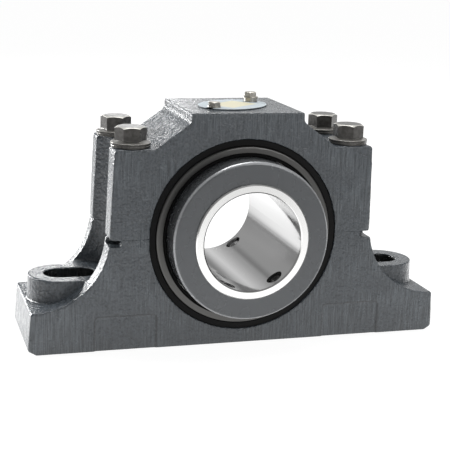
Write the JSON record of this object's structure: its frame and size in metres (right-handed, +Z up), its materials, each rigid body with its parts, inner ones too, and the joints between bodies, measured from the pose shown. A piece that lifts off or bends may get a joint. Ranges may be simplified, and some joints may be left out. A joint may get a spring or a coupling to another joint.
{
  "type": "tapered roller pillow block bearing",
  "caption": "Split cast pillow block with a double-row tapered roller bearing, locked to its shaft by two set-screw collars and bolted down through two slots.",
  "frame": {"origin": "centre of the base's underside, below the middle of the shaft bore", "axes": "+X along the base, +Y along the shaft from the pictured face to the back, +Z up from the mounting surface"},
  "size_m": [0.2686, 0.1044, 0.1539],
  "materials": {
    "housing_iron": "dark grey paint over sand-cast iron, ground front face",
    "bolt_steel": "dark heat-treated steel with worn bright edges",
    "race_steel": "ground and polished bearing steel",
    "cage_steel": "pressed sheet steel",
    "collar_steel": "dark grey phosphate, turned",
    "seal_steel": "dark grey pressed steel with a bright rolled edge",
    "rubber": "matt black rubber",
    "plate_aluminium": "satin plate with a pale yellow printed field",
    "fitting_steel": "plated steel"
  },
  "bodies": {
    "housing": {"base": "housing_iron", "cap": "housing_iron", "cap_bolt_front_left": "bolt_steel", "washer_front_left": "bolt_steel", "cap_bolt_front_right": "bolt_steel", "washer_front_right": "bolt_steel", "cap_bolt_back_left": "bolt_steel", "washer_back_left": "bolt_steel", "cap_bolt_back_right": "bolt_steel", "washer_back_right": "bolt_steel", "dowel_left": "race_steel", "dowel_right": "race_steel", "cup_front": "race_steel", "cup_back": "race_steel", "cup_spacer": "race_steel", "locating_pin": "race_steel", "seal_case_front": "seal_steel", "seal_lip_front": "rubber", "rubber_ring_front": "rubber", "seal_case_back": "seal_steel", "seal_lip_back": "rubber", "rubber_ring_back": "rubber", "label_plate": "plate_aluminium", "plate_screw": "fitting_steel", "grease_plug": "fitting_steel"},
    "shaft_sleeve": {"inner_ring": "race_steel", "collar_front": "collar_steel", "collar_back": "collar_steel", "set_screw_front_1": "bolt_steel", "set_screw_front_2": "bolt_steel", "set_screw_back_1": "bolt_steel", "set_screw_back_2": "bolt_steel"},
    "roller_set_front": {"rollers_front": "race_steel", "cage_front": "cage_steel"},
    "roller_set_back": {"rollers_back": "race_steel", "cage_back": "cage_steel"}
  },
  "joints": [
    {"name": "shaft_spin", "type": "hinge", "parent": "housing", "child": "shaft_sleeve", "pos_m": [0, 0, 0.06985], "axis": [0, 1, 0], "continuous": true},
    {"name": "roller_orbit_front", "type": "hinge", "parent": "housing", "child": "roller_set_front", "pos_m": [0, 0, 0.06985], "axis": [0, 1, 0], "continuous": true},
    {"name": "roller_orbit_back", "type": "hinge", "parent": "housing", "child": "roller_set_back", "pos_m": [0, 0, 0.06985], "axis": [0, 1, 0], "continuous": true}
  ],
  "couplings": [
    {"joint": "roller_orbit_front", "follows": "shaft_spin", "ratio": 0.4533},
    {"joint": "roller_orbit_back", "follows": "shaft_spin", "ratio": 0.4533}
  ]
}
